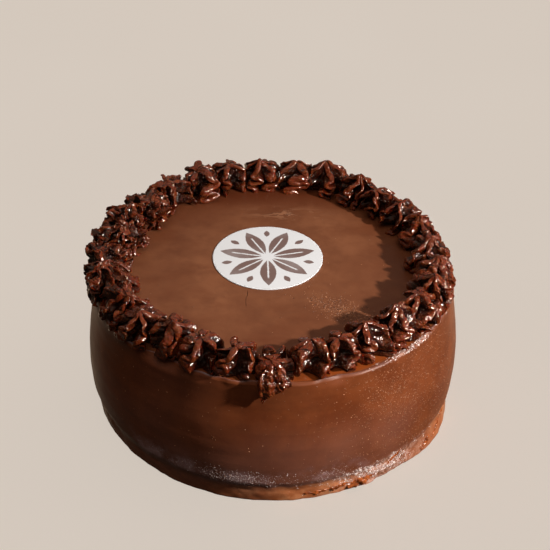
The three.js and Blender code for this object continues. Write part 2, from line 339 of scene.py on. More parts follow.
def make_coat_finish():
    """Satin ganache. The wall is warmer, and the top paler, but darker and redder near the
    dollops: fat that has come out, most at the back, and painted shade from the dollops on
    the front right. Low on the wall is a painted grey sheen with painted glints in it, and a
    paler painted sheen spreads over the front and the shaded left. Where the coat is wet it
    is crinkled and shines, with painted pale glints, and the lip's crest has a painted grey
    sheen. The foot's orange is the thin coat's colour, with painted bounce light from below."""
    material, tree, shader = new_material("ganache_coat")
    place = add(tree, "TexCoord").outputs["Object"]
    top, foot, painted_sheen, lip = (value_of(tree, name) for name in ("top", "foot", "painted_sheen", "lip"))
    wet, fat_and_shade, rim, scuff = (value_of(tree, name) for name in ("wet", "fat_and_shade", "rim", "scuff"))
    clouds = noise_of(place, 22, 4, 0.55)
    blotches = noise_of(place, 48, 4, 0.6, 0.2)
    mottle = noise_of(place, 120, 5, 0.6)
    crinkles = noise_of(place, 480, 3, 0.6, 0.3)
    streaks = noise_of(stretched(place, (14, 14, 260)), 1, 4, 0.6, 0.3)
    strokes = noise_of(stretched(place, (34, 62, 40)), 1, 4, 0.55, 0.9)
    torn = ramp(noise_of(stretched(place, (75, 190, 60)), 1, 4, 0.62, 1.2), 0.50, 0.54)
    painted_glints = ramp(noise_of(place, 1300, 2, 0.5), 0.60, 0.68)
    crack = crack_line(place, top)

    wall = mix(ramp(blotches, 0.34, 0.68), *WALL_COLOURS)
    wall = mix(ramp(streaks, 0.4, 0.8, 0.0, 0.22), wall, STREAK_COLOUR)
    flat = mix(ramp(clouds, 0.32, 0.68), *TOP_COLOURS)
    flat = mix(ramp(strokes, 0.42, 0.72, 0.0, 0.55), flat, STROKE_COLOUR)
    # thin: the foot's orange, the thin coat's colour with painted bounce light from below.
    thin = mix(ramp(mottle, 0.3, 0.7), *THIN_COAT_AND_BOUNCE_COLOURS)
    patchy = ramp(mottle, 0.35, 0.65, 0.50, 0.90)
    colour = mix(top, wall, flat)
    # Painted light among these layers: the shade in the fat-and-shade layer, the haze, the low sheen and
    # its glints, the lip's sheen, the wet coat's pale glints and the foot's bounce light.
    for share, over in (
        (fat_and_shade, FAT_AND_SHADE_COLOUR),
        (times(rim, 0.9), RIM_COLOUR),
        (times(scuff, torn), TORN_COLOUR),
        (ramp(mottle, 0.4, 0.7, 0.0, 0.25), MOTTLE_COLOUR),
        (times(crack, 0.75), CRACK_COLOUR),
        (value_of(tree, "sheen_haze"), HAZE_SHEEN_COLOUR),
        (foot, thin),
        (times(painted_sheen, patchy), SHEEN_COLOUR),
        (times(painted_sheen, painted_glints), PAINTED_GLINT_COLOUR),
        (times(lip, patchy), LIP_SHEEN_COLOUR),
        # painted pale glints among the wet coat's crinkles
        (times(wet, ramp(crinkles, 0.43, 0.58, 0.22, 1.0)), WET_GLINT_COLOUR),
    ):
        colour = mix(share, colour, over)

    fine_crinkles = noise_of(place, 1150, 3, 0.6, 0.3)
    grain = noise_of(place, 900, 3, 0.6)
    normal = None
    for height, distance, strength in (
        (streaks, 0.12, 0.4), (strokes, 0.10, 0.35), (clouds, 1.2, 0.35), (crack, -0.4, 0.8),
        (crinkles, 1.6, wet), (fine_crinkles, 0.9, wet), (torn, 0.35, scuff), (grain, 0.05, 0.4),
    ):
        normal = relief(height, distance, strength, normal)

    dull = plus(ramp(clouds, 0.3, 0.7, 0.40, 0.50), times(top, 0.06))
    shine = larger(times(foot, 0.5), larger(wet, rim))
    set_inputs(shader, {"Base Color": colour, "Roughness": minus(dull, times(shine, 0.30)),
                        "Specular IOR Level": 0.28, "Normal": normal})
    return material


def make_piping_finish():
    """Glossy piped ganache: a warm red-brown on the crests, darkened to near black in the
    valleys as painted shade, with a skin that is slightly pebbled, and more so where the
    piping is grainy."""
    material, tree, shader = new_material("piped_ganache")
    place = add(tree, "TexCoord").outputs["Object"]
    crest, grain = value_of(tree, "crest"), value_of(tree, "grain")
    mottle = noise_of(place, 220, 4, 0.6)
    pebbles = noise_of(place, 430, 1, 0.5)
    fine = noise_of(place, 1300, 1, 0.5)
    colour = mix(ramp(crest, 0.50, 1.0), VALLEY_SHADE_COLOUR, CREST_COLOUR)
    warm = times(ramp(mottle, 0.4, 0.7, 0.0, 0.8), crest)
    rough = plus(0.62, times(grain, 0.38))
    normal = relief(pebbles, 1.5, rough, relief(mottle, 1.0, 0.4))
    set_inputs(shader, {
        "Base Color": mix(warm, colour, WARM_COLOUR),
        "Roughness": ramp(mottle, 0.3, 0.7, 0.15, 0.25),
        "Normal": relief(fine, 0.08, 0.5, normal),
        "Specular IOR Level": 1.0,
        "Specular Tint": (1.0, 0.84, 0.76, 1),
        "Subsurface Weight": 0.35,
        "Subsurface Radius": (1.0, 0.22, 0.08),
        "Subsurface Scale": 1.6 * MM,
    })
    return material


# ---- the coat

TOP = 78.5
EDGE_RADIUS = 101.8
MEAN_RADIUS = 105         # where noise on the wall is looked up
LIP_HEIGHT, LIP_WIDTH = 0.6, 2.4
COAT_COLUMNS = 480
UNDER_SHARES = (0.25, 0.55, 0.8, 0.93, 0.985)      # of the foot's radius, under the cake
OFF_TOP = -9              # given as the distance in from the edge where there is no top

# Height and radius up the wall, without the tuck at its foot.
WALL = ((0, 106.2), (8, 106.6), (16, 106.9), (26, 107.4), (38, 107.0), (50, 105.5), (62, 103.4),
        (71, 102.2), (TOP, EDGE_RADIUS))
WALL_STEP, WALL_WINDOW = 0.2, 41      # spacing of its radii, and how many are averaged
TUCK_DEPTH, TUCK_HEIGHT = 1.6, 13.5
FLARE = 4.2               # how far the foot spreads
STROKE_TURN = np.array([[0.9, -0.4, 0], [0.4, 0.9, 0], [0, 0, 1]])

# Places round the cake: middle and width.
WET, WET_EDGE = (-54, 13), (-42, 12)
# LIP_FAINT is where the lip's painted sheen fades.
FLARED, LIP_SUNK, LIP_FAINT, RIM_BRIGHT = (-30, 14), (-50, 28), (-48, 24), (-68, 28)
# Fat near the dollops at the back and in the middle, and painted shade from the dollops on the front
# right.
FATTY_BACK, PAINTED_SHADE_FRONT, FATTY_MIDDLE = (95, 45), (-35, 60), (-98, 22)

# Places with how deep or how strong each is.
DENTS = ((-124, 6, 4.2), (-111, 4, 1.0), (-88, 4, 1.2), (-71, 4, 1.2), (-50, 5, 0.8), (20, 8, 1.2),
         (140, 9, 1.5), (-160, 7, 1.3))
# Where the foot's orange and its painted bounce light are strongest.
ORANGE_AND_BOUNCE = ((-76, 20, 1.1), (-24, 11, 0.42))
# Where the painted sheen and glints low on the wall are strongest.
SHEEN_PLACES = ((-115, 20, 1.9), (-72, 8, 1.0))
# A paler painted grey sheen, low on the front wall and over the shaded left.
LOW_HAZE, SIDE_HAZE = ((-78, 38, 1), (-140, 25, 0.5)), ((-121, 15, 0.14),)


def smoothed_wall():
    """Radius at every fifth of a millimetre: straight runs between the WALL points, then
    averaged over a window so that no run shows where it ends."""
    height = np.arange(0, TOP + WALL_STEP / 2, WALL_STEP)
    straight = np.interp(height, *np.array(WALL).T)
    window = np.hanning(WALL_WINDOW)
    padded = np.pad(straight, WALL_WINDOW // 2, mode="reflect", reflect_type="odd")
    return height, np.convolve(padded, window / window.sum(), mode="valid")


WALL_HEIGHTS, WALL_RADII = smoothed_wall()


def ring_noise(angle, size, seed):
    """Noise round the cake for features of this size where the radius is 100."""
    return noise(points_at(angle, 100, 0), size, seed)


def edge_waves(angle):
    """How far the top edge stands out from its circle in two slow waves."""
    return 0.45 * np.sin(2 * angle + 0.6) + 0.3 * np.sin(5 * angle + 1.9)


def edge_dents(angle):
    """What the knife took off the edge: a ragged line, and the dents."""
    return 0.45 * ring_noise(angle, 9, 43) + 0.3 * ring_noise(angle, 3.5, 44) - patches(angle, DENTS)


def brow_height(angle):
    """Height of the uneven brow that the coat's wall ends in, over the tucked foot."""
    return TUCK_HEIGHT + 1.3 * ring_noise(angle, 17, 24) + 0.6 * ring_noise(angle, 5, 25)


def wall_radius(angle, height):
    """The wall's radius: its profile, slow waves that turn as they climb, a kinked top edge,
    faint level ridges left by the scraper, and a tuck with an uneven brow at the foot,
    which spreads again where it flares."""
    on_drum = points_at(angle, MEAN_RADIUS, height)
    upper = smooth(height, 0.55 * TOP, TOP)
    slow = 0.35 * np.sin(3 * angle + height / 40) + 0.25 * np.sin(4 * angle - height / 25 + 2)
    radius = np.interp(height, WALL_HEIGHTS, WALL_RADII)
    radius = radius + upper * edge_waves(angle) + (1 - upper) * slow
    radius = radius + edge_dents(angle) * smooth(height, TOP - 7, TOP) ** 2
    radius = radius + 0.45 * smooth(height, TOP - 9, TOP) * noise(on_drum * (1, 1, 0.2), 13, 21)
    radius = radius + 0.16 * noise(on_drum * (0.6, 0.6, 1), 17, 22)
    radius = radius + 0.05 * noise(on_drum * (0.12, 0.12, 1), 2.6, 23)
    brow = brow_height(angle)
    tuck = 1 - smooth(height, brow - 5.5, brow + 2.6)
    lumps = 0.6 * noise(on_drum, 6.5, 26) + 0.4 * noise(on_drum, 2.9, 27)
    wet = bump(angle, *WET)
    flare = FLARE * bump(angle, *FLARED) * (1 - np.clip(height / brow, 0, 1)) ** 1.3
    return radius + flare - tuck * (TUCK_DEPTH * (1 - 0.5 * wet) - lumps * (0.5 + 0.9 * wet))


def top_height(x, y):
    """Height of the top: level but for broad swells and shallow strokes of the knife."""
    place = np.stack([x, y, 0 * x], -1)
    strokes = noise(place @ STROKE_TURN * (0.3, 1, 1), 6, 32)
    return TOP + 0.10 * noise(place, 26, 31) + 0.035 * strokes


def lip_height(inwards, angle):
    """A thin crest about a millimetre in from the edge, that rises, sinks and wanders as it
    goes round and flattens where the coat is wet."""
    crest = 1.1 + 0.5 * ring_noise(angle, 7, 41)
    high = 1.0 + 0.7 * ring_noise(angle, 8, 42) + 0.5 * ring_noise(angle, 3, 45)
    high = LIP_HEIGHT * np.maximum(high, 0.15) * (1 - 0.8 * bump(angle, *LIP_SUNK))
    return high * bell(inwards, crest, 0.5 + 0.18 * ring_noise(angle, 5, 46))


def coat_values(angle, grid, on_wall, inwards):
    """What the finish needs to know of each point, as shares: 0 for none of it and 1 for all.
    inwards is the distance in from the top edge."""
    x, y, height = grid[..., 0], grid[..., 1], grid[..., 2]
    radius = np.hypot(x, y)
    above_brow = height - brow_height(angle)
    on_top = smooth(inwards, 1.6, 3.2)

    # The foot's orange and its painted bounce light, strongest at the front.
    orange = np.minimum(0.15 + patches(angle, ORANGE_AND_BOUNCE), 1)
    # Painted sheen and painted glints a little above the brow, in patches.
    hazy = smooth(noise(grid, 9, 51) + 0.6 * noise(grid, 2.2, 52), -0.6, 0.6)
    hazy = hazy * np.minimum(patches(angle, SHEEN_PLACES), 1)
    # Painted sheen, low on the front wall.
    low_down = on_wall * (1 - smooth(height, 16, 62)) * smooth(noise(grid, 22, 54), -1.2, 0.8)
    sheen_haze = 0.55 * low_down * np.minimum(patches(angle, LOW_HAZE), 1)

    edge_wet = (1 - smooth(inwards, 0.8, 2.6)) * smooth(height, TOP - 2.0, TOP - 0.5)
    broken = smooth(noise(grid, 2.6, 56) + 0.6 * noise(grid, 1.1, 57), -0.25, 0.45)
    wet = on_wall * bump(angle, *WET) * (1 - smooth(above_brow, -2, 4))

    uneven = smooth(noise(grid, 15, 55), -0.7, 0.5)
    fat_and_shade = smooth(radius, 46, 84) * (0.22 + 0.78 * bump(angle, *FATTY_BACK))
    # Painted shade from the dollops on the front right.
    fat_and_shade = fat_and_shade + 0.45 * smooth(radius, 60, 82) * bump(angle, *PAINTED_SHADE_FRONT)
    fat_and_shade = fat_and_shade + 0.55 * smooth(radius, 26, 62) * bump(angle, *FATTY_MIDDLE) * uneven

    # on_lip: where the lip's crest gets its painted sheen.
    on_lip = bell(inwards, 1.0, 0.42) * smooth(ring_noise(angle, 9, 53), -0.5, 0.3)
    return {
        "top": on_top,
        "lip": on_lip * (1 - 0.75 * bump(angle, *LIP_FAINT)),
        "foot": on_wall * (1 - smooth(above_brow, -2.6, -0.4)) * orange,
        "painted_sheen": on_wall * bell(above_brow, 4.2, 5.4) * hazy,
        "wet": np.maximum(wet, 0.75 * edge_wet * bump(angle, *WET_EDGE) * broken),
        "fat_and_shade": on_top * fat_and_shade,
        "rim": on_top * (1 - smooth(inwards, 7, 12)) * (0.25 + 0.75 * bump(angle, *RIM_BRIGHT)),
        "scuff": on_top * bell(x, 6, 19) * bell(y, 57, 6),
        "sheen_haze": sheen_haze + on_wall * patches(angle, SIDE_HAZE),
    }


def make_coat():
    """Rings from the middle of the underside, out to the foot, up the wall, over the lip
    and in to the middle of the top."""
    angle = np.linspace(0, TAU, COAT_COLUMNS, endpoint=False)
    under = np.array(UNDER_SHARES)[:, None] * (wall_radius(angle, 0) - 0.5)

    low, rest = np.linspace(1.2, 20, 34), np.linspace(20.7, TOP - 0.6, 86)
    heights = np.concatenate([[0.0, 0.25, 0.6], low, rest])[:, None]
    wall = wall_radius(angle, heights)
    wall[:2] -= [[0.45], [0.12]]

    on_rim = np.concatenate([np.linspace(0.12, 2.6, 14), np.linspace(3.0, 9, 12)])[:, None]
    edge = wall_radius(angle, TOP) - 0.15
    rim = edge - on_rim
    flat = np.concatenate([rim, np.linspace(1, 0, 46, endpoint=False)[1:, None] * rim[-1]])
    level = top_height(flat * np.cos(angle), flat * np.sin(angle))
    level[:len(rim)] += lip_height(on_rim, angle) - 0.5 * (1 - smooth(on_rim, 0.0, 0.5)) ** 2

    height = np.concatenate([0 * under, heights + 0 * angle, level])
    grid = points_at(angle, np.concatenate([under, wall, flat]), height)
    on_wall = np.concatenate([0 * under, 1 + 0 * wall, 0 * flat])
    inwards = np.concatenate([OFF_TOP + 0 * under, OFF_TOP + 0 * wall, edge - flat])
    values = coat_values(angle, grid, on_wall, inwards)
    return closed_grid("ganache_coat", grid, (0, 0, 0), (0, 0, float(top_height(0.0, 0.0))), values)


# ---- grains and lumps

def make_grain_finish():
    """Specks of ganache, from pale and shiny to near black. The pale ones are painted glints,
    and the near black ones painted shade in pits.
    """
    material, tree, shader = new_material("specks")
    colour = mix(value_of(tree, "pale"), (0.05, 0.014, 0.006), (0.40, 0.17, 0.08))
    set_inputs(shader, {"Base Color": colour, "Roughness": 0.45})
    return material


def make_bead_finish():
    """Thin glossy ganache squeezed out at the foot, orange where light gets through it."""
    material, tree, shader = new_material("squeezed_ganache")
    mottle = noise_of(add(tree, "TexCoord").outputs["Object"], 260, 3, 0.6)
    colour = mix(ramp(mottle, 0.35, 0.65), (0.12, 0.024, 0.005), (0.34, 0.085, 0.022))
    set_inputs(shader, {"Base Color": colour, "Roughness": 0.2, "Normal": relief(mottle, 0.5, 0.6)})
    return material


def make_crystal_finish():
    """Sugar crystals in the wet coat: pinkish to white, and glossy, so that a side that faces
    the light glints. Their near-white colour is partly a painted highlight, for glitter."""
    material, tree, shader = new_material("crystals")
    colour = mix(value_of(tree, "pale"), (0.36, 0.19, 0.15), (0.92, 0.80, 0.77))
    set_inputs(shader, {"Base Color": colour, "Roughness": 0.18, "Specular IOR Level": 0.8})
    return material


def unit_length(vectors):
    """The same directions, each one long."""
    return vectors / np.linalg.norm(vectors, axis=1, keepdims=True)


def make_blobs(name, places, outwards, sizes, seed, sides, values, rounded=True):
    """Many small bodies in one mesh. Each is a sphere squashed by its sizes across, up and
    outwards, roughened by noise, and sunk by half in what it lies on. Its rings run from the
    outer pole in, so the faces between them are turned over."""
    lean = np.linspace(0, math.pi, sides // 2 + 1)[1:-1, None]
    turn = np.linspace(0, TAU, sides, endpoint=False)
    ring = points_at(turn, np.sin(lean), np.cos(lean)).reshape(-1, 3)
    unit = np.concatenate([ring, [[0, 0, 1], [0, 0, -1]]])
    outwards = unit_length(outwards)
    guide = np.where(np.abs(outwards[:, 2:]) > 0.9, [[0.0, 1, 0]], [[0.0, 0, 1]])
    across = unit_length(np.cross(guide, outwards))
    axes = np.stack([across, np.cross(outwards, across), outwards], 1)
    body = np.einsum("kj,nj,nji->nki", unit, sizes, axes)
    rough = noise(places[:, None] + body, sizes.mean(1).max(), seed)[..., None]
    points = places[:, None] + body * (1 + 0.3 * rough)
    quads, fans = ring_faces(len(lean), sides)
    step = len(unit) * np.arange(len(places))[:, None, None]
    quads = (quads[:, [0, 3, 2, 1]] + step).reshape(-1, 4)
    fans = (fans[:, [0, 2, 1]] + step).reshape(-1, 3)
    values = {key: np.repeat(numbers, len(unit)) for key, numbers in values.items()}
    return make_object(name, points.reshape(-1, 3), quads, fans, values, rounded)


def drawn_sizes(draw, size, smallest, largest, low, high):
    """Three sizes for each grain: one size held within bounds, times a draw for each axis."""
    return np.clip(size, smallest, largest)[:, None] * draw.uniform(low, high, (len(size), 3))


WALL_SPECKS, PATCH_SPECKS, STREWN_SPECKS = 4600, 950, 70
CLUSTER_SHARE, FRONT_SHARE = 0.22, 0.75      # the cluster is counted in with the front
PATCH_CENTRE, PATCH_SPREAD = (37, -39), np.array([[9, -6.5], [3, 4]])


def make_specks(material):
    """Specks for burst bubbles and pits: pale ones over the wall, thickest on the front right,
    whose paleness is a painted glint, and pale and dark ones in a patch on the top, where the
    dark ones are painted shade in pits."""
    draw = np.random.default_rng(7)
    count = WALL_SPECKS
    kind = draw.random(count)
    in_cluster = kind < CLUSTER_SHARE
    angle = np.where(kind < FRONT_SHARE, draw.normal(-42, 16, count), draw.uniform(-180, 180, count))
    angle = np.radians(np.where(in_cluster, draw.normal(-52, 7, count), angle))
    height = np.where(in_cluster, draw.normal(57, 9, count), draw.uniform(9, TOP - 1.5, count))
    height = np.minimum(height, TOP - 1)
    wall = points_at(angle, wall_radius(angle, height), height)

    patch = draw.normal(0, 1, (PATCH_SPECKS, 2)) @ PATCH_SPREAD + PATCH_CENTRE
    flat = np.concatenate([patch, draw.uniform(-76, 76, (STREWN_SPECKS, 2))])
    from_disc = np.hypot(*(flat - DISC_CENTRE).T)
    flat = flat[(np.hypot(*flat.T) < 78) & (from_disc > DISC_RADIUS + 1)]
    top = np.stack([*flat.T, top_height(*flat.T)], -1)

    size = np.concatenate([draw.gamma(5, 0.032, count), draw.gamma(5, 0.047, len(top))])
    sizes = drawn_sizes(draw, size, 0.07, 0.42, [0.8, 0.8, 0.35], [1.5, 1.0, 0.6])
    # pale: pale specks paint glints, and dark ones paint the shade in pits.
    pale = np.concatenate([draw.uniform(0.3, 1, count), draw.uniform(0, 0.95, len(top))])
    places = np.concatenate([wall, top])
    outwards = np.concatenate([points_at(angle, 1, 0), np.tile([0.0, 0, 1], (len(top), 1))])
    return dress(make_blobs("specks", places, outwards, sizes, 71, 6, {"pale": pale}), material, "ganache")


WET_CRYSTALS, EDGE_CRYSTALS, SHEEN_CRYSTALS = 3600, 420, (1200, 300)


def make_crystals(material):
    """Crystals where the coat is wet or has the painted sheen: thick in patches over the wet
    foot on the front right and in a thin band on the edge over it, and fine ones, pale as
    painted glints, over the painted sheen further left."""
    draw = np.random.default_rng(27)
    wet, edge, fine = WET_CRYSTALS, EDGE_CRYSTALS, sum(SHEEN_CRYSTALS)
    angle = np.radians(np.concatenate([
        draw.normal(WET[0] - 4, 8, wet), draw.normal(-44, 6.5, edge),
        draw.normal(-101, 8, SHEEN_CRYSTALS[0]), draw.normal(-72, 5, SHEEN_CRYSTALS[1])]))
    brow = brow_height(angle)
    height = np.concatenate([
        draw.beta(2.0, 1.6, wet) * brow[:wet] * 1.2, draw.normal(TOP - 0.2, 0.7, edge),
        brow[wet + edge:] + draw.normal(4.5, 2.6, fine)])
    height = np.minimum(height, TOP)
    radius = wall_radius(angle, height) - 0.05
    band = slice(wet, wet + edge)
    radius[band] -= np.where(height[band] > TOP - 0.5, draw.uniform(0, 2.4, edge), 0)
    places = points_at(angle, radius, height)
    outwards = points_at(angle, 1, 0.5) + draw.normal(0, 0.45, (len(angle), 3))
    size = np.concatenate([
        draw.gamma(3, 0.065, wet), draw.gamma(4, 0.060, edge), draw.gamma(6, 0.024, fine)])
    sizes = drawn_sizes(draw, size, 0.08, 0.7, [0.8, 0.8, 0.5], [1.4, 1.2, 0.8])
    pale = draw.uniform(0, 1, len(size)) ** 1.1

    in_patch = noise(places[:wet], 3.5, 28) + 0.6 * noise(places[:wet], 1.4, 29) > -0.15
    kept = np.concatenate([in_patch, np.full(edge + fine, True)])
    made = make_blobs("crystals", places[kept], outwards[kept], sizes[kept], 73, 5,
                      {"pale": pale[kept]}, False)
    return dress(made, material, "ganache")


# Angles round, heights and thickest half sections of the beads, from end to end of each.
BEADS = (
    ((-80.5, -57), (4.6, 5.6), 1.9),
    ((-67, -59), (3.0, 3.6), 2.9),
    ((-53.2, -47.9), (8.5, 15.5), 1.15),
    ((-38.5, -33.0), (1.8, 4.8), 2.5),
    ((-33.0, -15.0), (2.5, 13.5), 1.3),
)
BEAD_ROWS, BEAD_COLUMNS = 220, 18


def make_bead(index, material):
    """A bead of ganache squeezed out along the foot. Its middle line wanders up and down, its
    half section swells and shrinks along it, and its skin is lumpy."""
    ends, heights, thickest = BEADS[index]
    t = np.linspace(0, 1, BEAD_ROWS)[:, None]
    turn = np.linspace(0, TAU, BEAD_COLUMNS, endpoint=False)
    angle = np.radians(ends[0] + (ends[1] - ends[0]) * t)
    middle = heights[0] + (heights[1] - heights[0]) * t + 0.5 * ring_noise(angle, 3.1, 80 + index)
    swell = 0.55 + 0.30 * ring_noise(angle, 2.6, 90 + index) + 0.2 * ring_noise(angle, 1.3, 100 + index)
    half = thickest * np.clip(swell, 0.22, 1) * np.clip(np.sin(math.pi * t), 0.002, 1) ** 0.35
    radius = wall_radius(angle, middle) - 0.1 + 0.75 * half * np.cos(turn)
    grid = points_at(angle, radius, np.maximum(middle + 1.15 * half * np.sin(turn), 0.1))
    lumps = np.stack([noise(grid, 1.6, 110 + axis) for axis in range(3)], -1)
    grid = grid + 0.6 * np.minimum(half, 1)[..., None] * lumps
    poles = grid[0].mean(0), grid[-1].mean(0)
    made = closed_grid(f"squeezed_bead_{index + 1}", grid[:, ::-1], *poles)
    return dress(made, material, "ganache")


# ---- the dollops

RING_RADIUS, RING_CENTRE = 91.4, (-2.4, 0.6)
DOLLOP_RADIUS, DOLLOP_HEIGHT = 10.4, 16.6
FIRST_ANGLE = 3
STEPS = (17, 11, 13, 11, 14, 13, 13, 13, 12, 12, 17, 11, 11, 12, 13, 16, 12, 11, 12, 12, 11, 13, 9,
         12, 11, 14, 10, 14, 10)
OUTWARD = (-1, 1, -1, -2, -1, 2, 0, 0, 1, -1, 0, -2, 0, -1, 1, 3, 0, 1, -1, 0, 1, 5, -1, -1, -2,
           -2, 1, 1, 2)
DROOPING, DROOPING_HEIGHT = 21, 0.64
SLUMPED_SPOKES = (0, 50, 108, 162, 199, 240, 300)      # degrees round from what faces outwards

# Places round the cake, and what the dollops there have more or less of.
HEAVY, HEAVY_EXTRA = (185, 42), 0.28      # reach outwards, where the hand was heavy
BROAD, BROAD_EXTRA = (-35, 26), 0.30      # reach outwards
LOWER, LOWER_SHARE = (14, 20), 0.16       # height
FAT, FAT_EXTRA = (-82, 50), 0.3           # thickness of the blades
RUFFLED, WRINKLED, GRAINY = (172, 40), (8, 44), (-24, 52)
LEFT_OVERHANG = 0.6       # how much further out the heavy-handed ones may reach
OVERHANG = 4.6            # how far past the edge any wrinkle may stand
INWARD_EXTRA, BROADER = 0.12, 1.1      # reach inwards, and share along the ring

# Ranges that each blade's own numbers are drawn from.
BLADE_REACH, BLADE_HALF = (0.92, 1.22), (0.8, 1.25)      # share of the radius, half thickness
BLADE_TURN = (-0.2, 0.2)      # radians from its even share of the circle
SWING, FIN, HORN_AT = (1.5, 3.9), (-0.6, 1.2), (0.78, 0.93)
DOLLOP_ROWS, BLADE_COLUMNS = 88, 24
CAP_SHARE = 0.5           # of a blade's half section that its round crest takes up
GAP = 0.06                # kept between neighbours, which all but touch
SPREAD, PRESSED_FROM = 1.4, 0.7      # reach towards a far neighbour, and where pressing starts


def repeatable(seed):
    """Random numbers from 0 to 1 by the rule that the part's source uses."""
    state = seed
    while True:
        state = (state * 1664525 + 1013904223) % 2**32
        yield state / 2**32


def place_dollops():
    """Where each dollop stands, and its ridges, twist, height and lean, as the solids have."""
    draw = repeatable(8)
    made, angle = [], FIRST_ANGLE
    for index, (step, outward) in enumerate(zip(STEPS, OUTWARD)):
        turn = math.radians(angle)
        c, s = math.cos(turn), math.sin(turn)
        radius = RING_RADIUS + outward + RING_CENTRE[0] * c + RING_CENTRE[1] * s
        lower = LOWER_SHARE * bump(turn, *LOWER)
        made.append({
            "index": index,
            "turn": turn,
            "foot": np.array([radius * c, radius * s]),
            "ridges": 6 if next(draw) < 0.6 else 5,
            "start": next(draw) * TAU,
            "twist": 0.35 + 0.5 * next(draw),
            "wobble": 0.12 + 0.1 * next(draw),
            "height": DOLLOP_HEIGHT * (0.95 + 0.1 * next(draw) - lower),
            "lean": 2.4 * (np.array([next(draw), next(draw)]) - 0.5),
            "phase": next(draw) * TAU,
        })
        if index == DROOPING:
            made[-1]["height"] *= DROOPING_HEIGHT
        angle += step
    return made


def share_at(dollop, place):
    """How much of what belongs to a place round the cake a dollop has, from 0 to 1."""
    return float(bump(dollop["turn"], *place))


def press(distance, start, limit):
    """Leaves a distance alone up to start, then eases it towards limit without reaching it."""
    room = np.maximum(limit - start, 0.05)
    eased = start + room * (1 - np.exp(np.minimum(start - distance, 0) / room))
    return np.where(distance <= start, distance, eased)


def crest_radius(t):
    """A crest's radius up the dollop as a share of its widest: drawn in a little at the foot,
    full at a third of the height, then a dome that closes at the tip."""
    foot = 1 - 0.10 * (1 - np.minimum(t / 0.2, 1)) ** 2
    rise = np.maximum(t - 0.2, 0) / 0.8
    return foot * (1 - rise**3.4) ** 0.55


